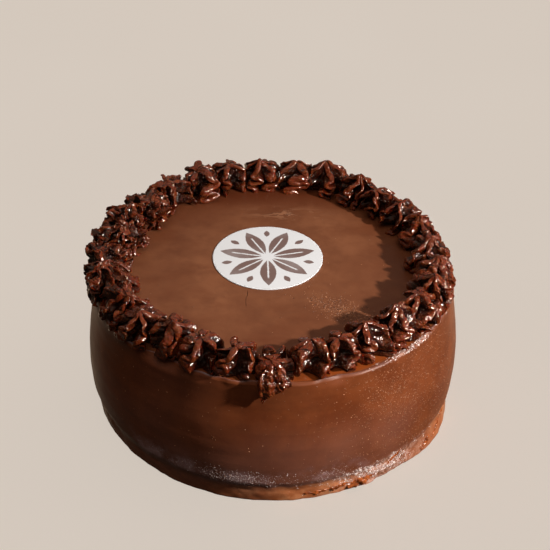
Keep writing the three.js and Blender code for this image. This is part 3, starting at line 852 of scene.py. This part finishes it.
def dollop_grid(dollop):
    """Each ridge is a blade whose section is a half circle on two sides that close on the
    core. Seen from outside, a blade's middle line goes down from the tip as a rope that
    piles up: x = A sin(s), z = P s / 2 pi - Q sin(2 s), where A grows from nothing below the
    dome, so that it runs almost level between round turns. The section is laid square to
    that line, which keeps the blade's thickness. Where the hand was heavy the blades are
    thinner, turn more often and run in and out as well: they ruffle. At the front they are
    thicker. The drooping dollop has blades at set angles, short in front, where the skirt
    hangs, and standing up as curled petals at the back."""
    draw = np.random.default_rng(100 + dollop["index"])
    heavy, ruffle = share_at(dollop, HEAVY), share_at(dollop, RUFFLED)
    slumped = dollop["index"] == DROOPING
    count = len(SLUMPED_SPOKES) if slumped else dollop["ridges"] + round(3.4 * ruffle)
    column = np.arange(count * BLADE_COLUMNS) / BLADE_COLUMNS
    blade = column.astype(int)
    across = (2 * (column - blade) - 1)[None, :]
    t = 1 - (1 - np.linspace(0, 1, DOLLOP_ROWS, endpoint=False)[:, None]) ** 1.5

    def each(low, high):
        """One random number for every blade, handed to all of its columns."""
        return draw.uniform(low, high, count)[blade][None, :]

    loose = 1 - smooth(t, 0.5 + 0.15 * ruffle, 0.88 + 0.12 * ruffle)
    climb = TAU * t * (draw.uniform(1.8, 2.4) + 1.6 * ruffle)
    turns = climb + each(0, TAU)
    spoke = dollop["start"] + TAU * blade[None, :] / count + (1 + ruffle) * each(*BLADE_TURN)
    if slumped:
        spoke = dollop["turn"] - dollop["twist"] + np.radians(SLUMPED_SPOKES)[blade][None, :]
    facing_out = slumped * np.cos(spoke - dollop["turn"] + dollop["twist"])
    front, back = np.maximum(facing_out, 0), np.maximum(-facing_out, 0)
    reach = DOLLOP_RADIUS * each(*BLADE_REACH) * (1 - 0.5 * front)
    reach = reach * (1 + (0.03 + 0.15 * ruffle) * loose * np.sin(1.3 * turns + each(0, TAU)))
    crest = reach * crest_radius(t)
    filled = 0.14 * (1 - smooth(t, 0, 0.5)) + 0.16 * smooth(t, 0.8, 1)
    core = DOLLOP_RADIUS * crest_radius(t) * (0.27 + filled)
    half = each(*BLADE_HALF) * (1 - 0.4 * ruffle) * (1 + FAT_EXTRA * share_at(dollop, FAT))
    half = half + 0.9 * (each(0, 1) > 0.8)
    half = np.minimum(half * (1 + 0.25 * loose * np.sin(11 * t + each(0, TAU))), 0.42 * crest)
    loose = loose * (1 - 0.6 * slumped)
    cap = np.clip(np.abs(across) / CAP_SHARE, 0, 1) * math.pi / 2
    side = np.clip((np.abs(across) - CAP_SHARE) / (1 - CAP_SHARE), 0, 1)
    end = np.array([math.cos(math.pi / count), math.sin(math.pi / count)])
    depth = crest - half * (1 - np.cos(cap)) - (crest - half - core * end[0]) * side
    offset = np.sign(across) * (half * np.sin(cap) + (core * end[1] - half) * side**1.6)

    # out becomes the crest value: 0 in the valleys, which the finish darkens as painted shade, and 1 on
    # the crests.
    out = (1 - side) * (0.75 + 0.25 * np.cos(cap))
    free = out**0.7
    swing = each(*SWING) * (1 - 0.35 * ruffle) * np.sin(turns) * loose * free
    fins = each(*FIN) * smooth(t, 0.5, 0.92) * out
    horn = bell(t, each(*HORN_AT), 0.035)
    fins = fins + (2.0 + ruffle) * np.maximum(each(-1, 1), 0) * horn * out
    fins = fins + 4.6 * back * bell(t, 0.70, 0.17) * out
    line = dollop["height"] * t + fins - 0.7 * np.sin(2 * turns) * loose * free
    run, climbed = np.gradient(swing, axis=0), np.gradient(line, axis=0)
    length = np.maximum(np.hypot(run, climbed), 1e-6)
    width = swing + offset * climbed / length
    z = line - offset * run / length

    shared = draw.uniform(0.3, 1.1) * np.sin(climb + draw.uniform(0, TAU)) * loose
    shared = shared * depth / DOLLOP_RADIUS**2
    around = spoke + np.arctan2(width, depth) + dollop["twist"] * t + shared
    radius = np.hypot(depth, width)
    x, y = radius * np.cos(around), radius * np.sin(around)
    z = z * smooth(t, -0.05, 0.04) + draw.uniform(-1.0, 2.8) * smooth(t, 0.93, 1) ** 3

    c, s = math.cos(dollop["turn"]), math.sin(dollop["turn"])
    outward = (x * c + y * s) * (1 + HEAVY_EXTRA * heavy)
    broad = BROAD_EXTRA * share_at(dollop, BROAD)
    outward = outward * np.where(outward < 0, 1 + INWARD_EXTRA * (1 - heavy), 1 + broad)
    sideways = (-x * s + y * c) * (1 if slumped else BROADER)
    bent = (1 + 0.8 * t * t) * t * t * (1 + ruffle)
    x = outward * c - sideways * s + dollop["lean"][0] * bent
    y = outward * s + sideways * c + dollop["lean"][1] * bent
    points = np.stack([x + dollop["foot"][0], y + dollop["foot"][1], TOP + z], -1)

    points[0, :, 2] = TOP - 0.3
    points[..., 2] = np.maximum(points[..., 2], TOP - 0.3)
    return points, {"crest": out, "grain": smooth(outward, -2, 5) * share_at(dollop, GRAINY)}


def crumpled(points, facing, share=1):
    """Shifts points by one random field for the whole ring, so that neighbours move together
    along the border they share. It is strongest on the left, and on the right the outer
    sides are wrinkled as well. share weakens it, and facing says where grains stand out
    besides. Nothing is lifted off the top."""
    angle, _ = polar(points)
    rough = np.maximum(bump(angle, *RUFFLED), 0.35 * bump(angle, *WRINKLED))
    shift = [(0.9 + 0.9 * rough) * noise(points, 8.0, 58 + axis)
             + (0.50 + 1.7 * rough) * noise(points, 3.4, 61 + axis)
             + (0.14 + 1.25 * rough) * noise(points, 1.7, 68 + axis) for axis in range(3)]
    grains = facing * (0.7 * noise(points, 1.9, 65) + 0.3 * noise(points, 0.9, 66))
    shift = share * np.stack(shift, -1) + grains[..., None] * points_at(angle, 1, 1)
    shift[..., 2] *= smooth(points[..., 2], TOP, TOP + 3)
    return points + shift


def fit_among(points, dollop, neighbours):
    """Spreads a dollop towards a neighbour that stands further off, presses it back from a
    wavy border half-way to each of them, and holds its foot inside the lip."""
    for neighbour in neighbours:
        apart = neighbour["foot"] - dollop["foot"]
        half = np.linalg.norm(apart) / 2
        apart = apart / (2 * half)
        side = 1 if (neighbour["index"] - dollop["index"]) % len(STEPS) == 1 else -1
        pair = dollop["index"] if side == 1 else neighbour["index"]
        along = points[..., 0] * apart[1] - points[..., 1] * apart[0]
        wave = 0.7 * np.sin(0.55 * points[..., 2] + 0.35 * along + 2.3 * pair)
        limit = half - GAP / 2 + side * wave
        spread = max(1, SPREAD * half / DOLLOP_RADIUS)
        reach = (points[..., :2] - dollop["foot"]) @ apart
        moved = press(np.maximum(reach, reach * spread), PRESSED_FROM * limit, limit) - reach
        points[..., :2] += moved[..., None] * apart
    if dollop["index"] == DROOPING:
        return points
    angle, from_axis = polar(points)
    overhang = np.clip(1.3 * (points[..., 2] - TOP), 0, 6.5)
    edge = EDGE_RADIUS + edge_waves(angle) + edge_dents(angle)
    limit = edge - LIP_WIDTH + overhang + LEFT_OVERHANG * bump(angle, *HEAVY)
    from_edge = press(from_axis, limit - 2, limit)
    points[..., :2] *= (from_edge / from_axis)[..., None]
    past = np.maximum(from_edge - edge + 1, 0)
    points[..., 2] -= (0.5 * past + 0.12 * past**2) * (1 - smooth(points[..., 2], TOP + 2, TOP + 9))
    return points


def hold_in(points):
    """Keeps wrinkles on the outer side from standing out past the edge as stray spikes."""
    angle, from_axis = polar(points)
    limit = EDGE_RADIUS + edge_waves(angle) + OVERHANG
    points[..., :2] *= (press(from_axis, limit - 1.5, limit) / from_axis)[..., None]
    return points


SKIRT_LEFT, SKIRT_RIGHT = -7.0, 9.6       # how far it reaches beside the star
SKIRT_BEND = 9.0          # radius of the quarter circle that it is laid over
SKIRT_START, SKIRT_LONGEST, SKIRT_SLANT = 2.4, 20.5, 0.62
SKIRT_ROWS, SKIRT_COLUMNS = 130, 240
TAIL_X, TAIL_WIDTH, TAIL_LENGTH, TAIL_SLANT = -4.4, 1.5, 2.6, 2.4
RIB_PITCH, RIB_HEIGHT = 2.2, 0.05
FOLD_PITCH, FOLD_HEIGHT = 6.3, 0.45


def make_skirt(material, star):
    """The front of the drooping dollop: a tongue that starts under its star, is laid over a
    quarter circle and hangs down the wall. Its section is a flat oval with folds, pebbles
    and faint ribs on its face, and its hem climbs from a tail on the left to the right."""
    v = np.linspace(0, 1, SKIRT_ROWS)[:, None] ** 1.3
    turn = np.linspace(0, TAU, SKIRT_COLUMNS, endpoint=False)[None, :]
    across, out = np.cos(turn), -np.sin(turn)
    middle, half = (SKIRT_LEFT + SKIRT_RIGHT) / 2, (SKIRT_RIGHT - SKIRT_LEFT) / 2
    x = middle + half * np.sign(across) * np.abs(across) ** 0.8
    hem = SKIRT_LONGEST - SKIRT_SLANT * np.maximum(x - TAIL_X, 0) - TAIL_SLANT * np.maximum(TAIL_X - x, 0)
    hem = hem + TAIL_LENGTH * bell(x, TAIL_X, TAIL_WIDTH) + 0.8 * noise(x[..., None] * (1, 0, 0), 3.2, 5)
    down = SKIRT_START + (hem - SKIRT_START) * (1 - v)
    thick = 0.7 + 1.1 * smooth(down, 3, 9) - 0.6 * smooth(down, 13, 22)
    thick = thick * np.sqrt(1 - (1 - np.clip(v / 0.1, 0, 1)) ** 2)
    cloth = np.stack([x + 0 * down, down, 0 * down], -1)
    wander = 0.8 * noise(cloth, 6, 6) + 0.2 * noise(cloth, 1.8, 7)
    pebbles = 0.8 * noise(cloth, 1.5, 8) + 0.5 * noise(cloth, 0.8, 9)
    fold = np.sin(TAU * (x + wander) / FOLD_PITCH + 2.4)
    rib = np.sin(TAU * (x + wander) / RIB_PITCH)
    face = smooth(out, 0.1, 0.7) * smooth(v, 0, 0.06)
    low_relief = FOLD_HEIGHT * fold + RIB_HEIGHT * (rib + 3 * pebbles)
    above = thick * np.sign(out) * np.abs(out) ** 0.8 + face * smooth(down, 2, 7) * low_relief
    reach = SKIRT_BEND + above
    bend = np.minimum(down / SKIRT_BEND, math.pi / 2)
    fan = 0.40 + 0.60 * smooth(down, 1, 11)
    place = np.stack([star[0] + x * fan, star[1] - reach * np.sin(bend),
                      TOP + reach * np.cos(bend) - (down - bend * SKIRT_BEND)], -1)
    place = crumpled(place, 0.9 * face, 0.6)
    # Painted shade: the crest value is lower in the folds and on the back that faces the wall.
    crest = np.clip(0.85 + 0.2 * fold + 0.10 * rib, 0, 1) * (0.35 + 0.65 * smooth(out, -0.3, 0.4))
    piece = closed_grid("piped_skirt", place, place[0].mean(0), place[-1].mean(0),
                        {"crest": crest, "grain": face * smooth(x, -9, 2)})
    return dress(piece, material, "piping")


def make_dollops(material):
    """Makes the twenty-nine dollops, each in place of its solid, and the skirt."""
    ring = place_dollops()
    for index, dollop in enumerate(ring):
        points, values = dollop_grid(dollop)
        points = fit_among(points, dollop, (ring[(index + 1) % len(ring)], ring[index - 1]))
        points = crumpled(points, values["grain"], 0.45 if index == DROOPING else 1)
        if index != DROOPING:
            points = hold_in(points)
        low = np.array([*dollop["foot"], TOP - 0.3])
        tip = points[-1].mean(0) + (0, 0, 0.05)
        node = f"dollop_{index + 1:02d}"
        piece = closed_grid(f"piped_{node}", points, low, tip, values)
        dress(piece, material, "piping", node)
    make_skirt(material, ring[DROOPING]["foot"])


# ---- the disc

INK, PAPER = (0.150, 0.092, 0.082), (0.64, 0.655, 0.69)
LEAVES = 7
LEAF, BEAD = (0.21, 15.5, 12.5, 4.6), (0.71, 24.0, 3.2, 1.7)      # as lens takes them

# How far each ring of the disc lies in from its outline, and how high, from below to above.
DISC_RINGS = ((30, 0), (12, 0), (0.18, 0), (0, 0.12), (0, 0.4), (0.05, 0.54), (0.18, 0.6),
              *((inset, 0.6) for inset in (0.6, 2, 6, 12, 18, 24, 29)))


def make_disc_finish():
    """Matt white sugar with a printed rosette of lens-shaped leaves, each with a pale vein,
    and a bead between each two leaves. The ink has soft, slightly uneven edges."""
    material, tree, shader = new_material("printed_sugar")
    place = add(tree, "TexCoord").outputs["Object"]
    back = (-DISC_CENTRE[0] * MM, -DISC_CENTRE[1] * MM, 0)
    x, y = flat_place(add(tree, "Mapping", {"Vector": place, "Location": back}).outputs[0])
    radius = maths("SQRT", plus(maths("POWER", x, 2.0), maths("POWER", y, 2.0)))
    turn = maths("ARCTAN2", y, x)
    fuzz = noise_of(place, 700, 3, 0.6)
    soft = times(minus(fuzz, 0.5), 0.7)

    def lens(offset, middle, half_length, half_width, veined):
        """1 inside each of a ring of lenses. offset turns the ring by a share of its spacing.
        A lens's width falls off as the square of the distance to its middle."""
        share = plus(times(turn, LEAVES / TAU), offset)
        local = times(minus(maths("FRACT", share), 0.5), TAU / LEAVES)
        along = times(radius, maths("COSINE", local))
        across = maths("ABSOLUTE", times(radius, maths("SINE", local)))
        share = maths("DIVIDE", minus(along, middle), half_length)
        inside = minus(times(minus(1.0, maths("POWER", share, 2.0)), half_width), across)
        ink = ramp(plus(inside, soft), -0.25, 0.25)
        if not veined:
            return ink
        vein = ramp(plus(across, soft), 0.25, 0.65)
        return times(ink, larger(vein, ramp(share, 0.35, 0.5)))

    ink = larger(lens(*LEAF, True), lens(*BEAD, False))
    ink = times(ink, ramp(noise_of(place, 60), 0.2, 0.6, 0.82, 1.0))
    set_inputs(shader, {"Base Color": mix(ink, PAPER, INK), "Roughness": 0.55,
                        "Normal": relief(fuzz, 0.04, 0.5)})
    return material


def make_disc(material):
    """A thin round sheet that lies on the top: a flat face, a rounded edge a fifth of a
    millimetre across, and an outline that is out of round by a hair."""
    angle = np.linspace(0, TAU, 360, endpoint=False)
    outline = DISC_RADIUS - 0.12 + 0.12 * np.sin(3 * angle + 1)
    inset, height = np.array(DISC_RINGS).T[..., None]
    grid = points_at(angle, outline - inset, TOP + height) + (*DISC_CENTRE, 0)
    low, high = (*DISC_CENTRE, TOP), (*DISC_CENTRE, TOP + DISC_THICKNESS)
    return dress(closed_grid("sugar_disc", grid, low, high), material, "sugar", "printed_disc")


# ---- stage

KEY_PLACE, KEY_RADIUS, KEY_ENERGY = (490, -283, 398), 17, 27.5      # millimetres, watts
FILL_PLACE, FILL_SIZE, FILL_ENERGY = (0.0, -0.5, 2.0), 2.0, 16      # metres, watts
KEY_COLOUR, FILL_COLOUR = (1.0, 0.96, 0.90), (1.0, 0.91, 0.82)
FLOOR_COLOURS, FLOOR_GLOW = ((0.42, 0.375, 0.33), (0.445, 0.40, 0.355)), 1.36
FLOOR_REACH, FLOOR_HEIGHT = 4000, -0.02
CEILING_COLOUR, ROOM_COLOUR = (0.95, 0.80, 0.70), (0.86, 0.62, 0.42)


def make_light(name, kind, energy, colour, lit):
    """A light that reaches only one collection."""
    data = bpy.data.lights.new(name, kind)
    data.energy = energy
    data.color = colour
    lamp = bpy.data.objects.new(name, data)
    lamp.light_linking.receiver_collection = lit
    bpy.context.scene.collection.objects.link(lamp)
    return lamp


def make_floor():
    """A pale floor with a glow of its own, which neither lights the cake nor shows in it."""
    material, tree, shader = new_material("floor")
    colour = mix(noise_of(add(tree, "TexCoord").outputs["Object"], 3, 2), *FLOOR_COLOURS)
    set_inputs(shader, {"Base Color": colour, "Emission Color": colour,
                        "Emission Strength": FLOOR_GLOW, "Roughness": 0.8})
    square = np.array([[-1, -1, 0], [1, -1, 0], [1, 1, 0], [-1, 1, 0]])
    points = FLOOR_REACH * square + (0, 0, FLOOR_HEIGHT)
    floor = make_object("floor", points, [[0, 1, 2, 3]], [])
    floor.data.materials.append(material)
    floor.visible_diffuse = False
    floor.visible_glossy = False


def make_world():
    """Soft light from all round: brighter above and to the right, a glow behind the cake and
    on the far floor, and more beige towards the left and below."""
    world = bpy.data.worlds.new("studio")
    world.use_nodes = True
    tree = world.node_tree
    towards = add(tree, "SeparateXYZ", {0: add(tree, "TexCoord").outputs["Generated"]}).outputs
    above = times(ramp(towards["Z"], 0.0, 1.0), ramp(towards["X"], -0.9, 0.1, 0.07, 0.17))
    behind = times(ramp(towards["Y"], 0.1, 0.9), 0.20)
    far_floor = times(ramp(towards["Z"], -0.2, -0.6), ramp(towards["Y"], 0.4, 0.8))
    beige = larger(ramp(towards["X"], -0.2, -0.9), ramp(towards["Z"], 0.0, -0.3))
    set_inputs(tree.nodes["Background"], {
        "Color": mix(beige, CEILING_COLOUR, ROOM_COLOUR),
        "Strength": plus(plus(above, larger(behind, far_floor)), 0.03),
    })
    bpy.context.scene.world = world


def make_stage():
    """The floor, the light all round, a low key light near the front right, and a wide panel
    overhead that fills the shadows and shows in no reflection. Key and panel leave the floor
    alone, so that it stays even."""
    cake = bpy.data.collections.new("cake")
    for piece in bpy.context.scene.objects:
        if piece.type == "MESH":
            cake.objects.link(piece)
    make_floor()
    make_world()
    panel = make_light("fill", "AREA", FILL_ENERGY, FILL_COLOUR, cake)
    panel.data.shape = "DISK"
    panel.data.size = FILL_SIZE
    facing = Vector(FILL_PLACE).to_track_quat("Z", "Y").to_matrix().to_4x4()
    panel.matrix_world = Matrix.Translation(FILL_PLACE) @ facing
    panel.visible_glossy = False
    lamp = make_light("key", "POINT", KEY_ENERGY, KEY_COLOUR, cake)
    lamp.data.shadow_soft_size = KEY_RADIUS * MM
    lamp.location = MM * Vector(KEY_PLACE)
    bpy.context.scene.view_settings.view_transform = "Standard"


dress(make_coat(), make_coat_finish(), "ganache", "drum")
make_specks(make_grain_finish())
make_crystals(make_crystal_finish())
bead_finish = make_bead_finish()
for number in range(len(BEADS)):
    make_bead(number, bead_finish)
make_dollops(make_piping_finish())
make_disc(make_disc_finish())
make_stage()
